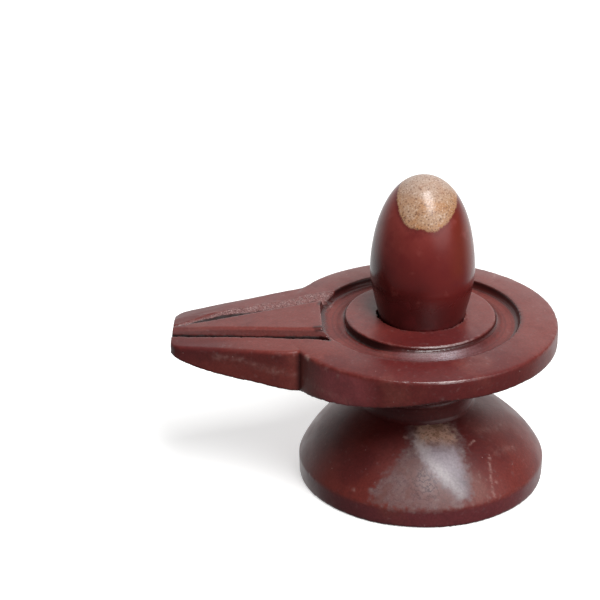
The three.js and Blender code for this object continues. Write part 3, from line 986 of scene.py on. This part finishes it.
# Polished jasper, glossy. It is deep red, and painted shade darkens it towards its lower end, most on
# the left. It has a tan crown that is full of dark specks and takes less polish.
polished = bpy.data.materials.new("polished river jasper")
polished.use_nodes = True
nodes = polished.node_tree.nodes
coordinates = add("TexCoord").node.outputs["Object"]
parts = add("SeparateXYZ", coordinates).node.outputs
clouds = add("TexNoise", coordinates, 1 / (14 * MM), 4)
blotches = add("TexNoise", coordinates, 1 / (5 * MM), 5)
ragged = add("TexNoise", coordinates, 1 / (1.3 * MM), 5)
specks = add("TexNoise", coordinates, 1 / (0.55 * MM), 1)
wavy = add("Math", clouds, 26 * MM, parts["Z"], **TIMES_PLUS)
shade_height = add("Math", parts["X"], 0.6, wavy, **TIMES_PLUS)

# Painted shade: the red darkens downwards from a wavy line, which runs lower on the right.
red = tinted(
    colour("#4e1717"),
    (shade_height, 68 * MM, 92 * MM, 1, "#732523"),
    (wavy, 90 * MM, 106 * MM, 1, "#8c3d38"),
)
upper_right = add("MapRange", wavy, 84 * MM, 92 * MM, **SOFT)
upper_right = add("Math", upper_right, add("MapRange", parts["X"], 5 * MM, 11 * MM, **SOFT), **TIMES)
red = add("Mix", upper_right, red, colour("#782c20"), **LAID)
red = tinted(red, (blotches, 0.5, 0.7, 0.45, "#6c2022"), (blotches, 0.4, 0.26, 0.3, "#a45650"))

# The crown's border is frayed by its specks, and a dark fringe lies around it.
field = add("Attribute", attribute_name="crown").node.outputs["Fac"]
field = add("Math", add("Math", ragged, 0.5, **MINUS), 1.0, field, **TIMES_PLUS)
field = add("Math", add("Math", specks, 0.5, **MINUS), 1.9, field, **TIMES_PLUS)
in_crown = add("MapRange", field, -0.35, 0.35, **SOFT)
fringe = add("MapRange", field, -2.4, 0.6, **SOFT)
fringe = add("Math", fringe, add("MapRange", parts["X"], 8 * MM, -6 * MM, 0.35, 0.6, **SOFT), **TIMES)
red = add("Mix", fringe, red, colour("#47181b"), **LAID)
tan = tinted(
    colour("#be987a"),
    (blotches, 0.44, 0.6, 1, "#b98860"),
    (parts["X"], -1 * MM, -8 * MM, 0.5, "#c2a08a"),
    (parts["X"], 3 * MM, 9 * MM, 0.4, "#a97c58"),
    # Painted highlight: the tan is paler and greyer towards the crown's top.
    (parts["Z"], 96 * MM, 101 * MM, 0.5, "#bcaca4"),
    (field, 2.8, 0.4, 0.5, "#bb8358"),
    (ragged, 0.52, 0.64, 0.4, "#a98068"),
)
speckled = add("MapRange", parts["Z"], 97 * MM, 91 * MM, 0.6, 0.95, **SOFT)
speckled = add("Math", speckled, add("MapRange", specks, 0.57, 0.67, **SOFT), **TIMES)
tan = add("Mix", speckled, tan, colour("#6e4e40"), **LAID)
tan = tinted(tan, (specks, 0.42, 0.3, 0.45, "#e6d2c2"))
red = add("Mix", in_crown, red, tan, **LAID)

gloss = add("MapRange", blotches, 0.3, 0.7, 0.17, 0.23, **SOFT)
gloss = add("Math", add("MapRange", wavy, 84 * MM, 70 * MM, 0, 0.14, **SOFT), gloss, **PLUS)
gloss = add("Mix", in_crown, gloss, 0.26)
relief = add("Math", add("Math", specks, in_crown, **TIMES), 0.025, **TIMES)
relief = add("Math", ragged, 0.01, relief, **TIMES_PLUS)
surfaced(red, gloss, relief)
lingam_stone.data.materials.append(polished)
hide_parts("lingam_stone")
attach(lingam_stone, "root")

# ---- The floor and the light ----
# A plain white floor. A large soft box hangs over the front, a little to the right. White walls stand
# at the back and sides, and a window is low on the right, behind the camera.

bm = bmesh.new()
bmesh.ops.create_grid(bm, x_segments=1, y_segments=1, size=6)
floor = placed(bm, "floor")
paper = bpy.data.materials.new("white background paper")
paper.use_nodes = True
shader = paper.node_tree.nodes["Principled BSDF"]
shader.inputs["Base Color"].default_value = colour("#f4f4f3")
shader.inputs["Roughness"].default_value = 0.9
shader.inputs["Specular IOR Level"].default_value = 0
shader.inputs["Emission Color"].default_value = colour("#ffffff")
shader.inputs["Emission Strength"].default_value = 0.55
floor.data.materials.append(paper)
floor.visible_glossy = False
floor.visible_diffuse = False


def soft_box(name, place, aim, width, height, brightness):
    """A rectangular light, as bright to look at as a white wall times its brightness."""
    data = bpy.data.lights.new(name, "AREA")
    data.shape = "RECTANGLE"
    data.size = width
    data.size_y = height
    data.energy = brightness * math.pi * width * height
    made = bpy.data.objects.new(name, data)
    made.location = place
    made.rotation_euler = (Vector(aim) - Vector(place)).to_track_quat("-Z", "Y").to_euler()
    scene.collection.objects.link(made)


soft_box("key", (0.2, -0.46, 0.98), (0, 0, 0.06), 0.42, 0.85, 10)

world = bpy.data.worlds.new("room")
world.use_nodes = True
nodes = world.node_tree.nodes
direction = add("TexCoord").node.outputs["Generated"]
parts = add("SeparateXYZ", direction).node.outputs
walls = add("MapRange", parts["Y"], 0.1, 0.85, 0.06, 0.9, **SOFT)
for axis, start, end, first, last in (
    ("X", -0.06, 0.12, 0.9, 1.05),
    ("X", 0.4, 0.8, 1, 0.55),
    ("Z", 0.2, 0.9, 0.98, 0.86),
):
    walls = add("Math", walls, add("MapRange", parts[axis], start, end, first, last, **SOFT), **TIMES)
dark_left = add("MapRange", parts["X"], -0.3, -0.65, **SOFT)
dark_left = add("Math", dark_left, add("MapRange", parts["Z"], 0.02, 0.2, **SOFT), **TIMES)
walls = add("Math", walls, add("MapRange", dark_left, 0, 1, 1, 0.78, **SOFT), **TIMES)
window = add("VectorMath", direction, (0.64, -0.6, 0.48), operation="DOT_PRODUCT")
window = add("MapRange", window, 0.78, 0.97, 0, 1.15, **SOFT)
walls = add("Math", walls, window, **PLUS)
ground = add("MapRange", parts["Y"], 0.05, 0.75, 0.14, 1, **SOFT)
ground = add("Math", ground, add("MapRange", parts["X"], -0.5, 0, 0.83, 1, **SOFT), **TIMES)
room = add("Mix", add("MapRange", parts["Z"], -0.15, 0.05, **SOFT), ground, walls)
nodes.id_data.links.new(room, nodes["Background"].inputs["Strength"])
nodes["Background"].inputs["Color"].default_value = colour("#ffffff")
scene.world = world
scene.view_settings.view_transform = "Standard"
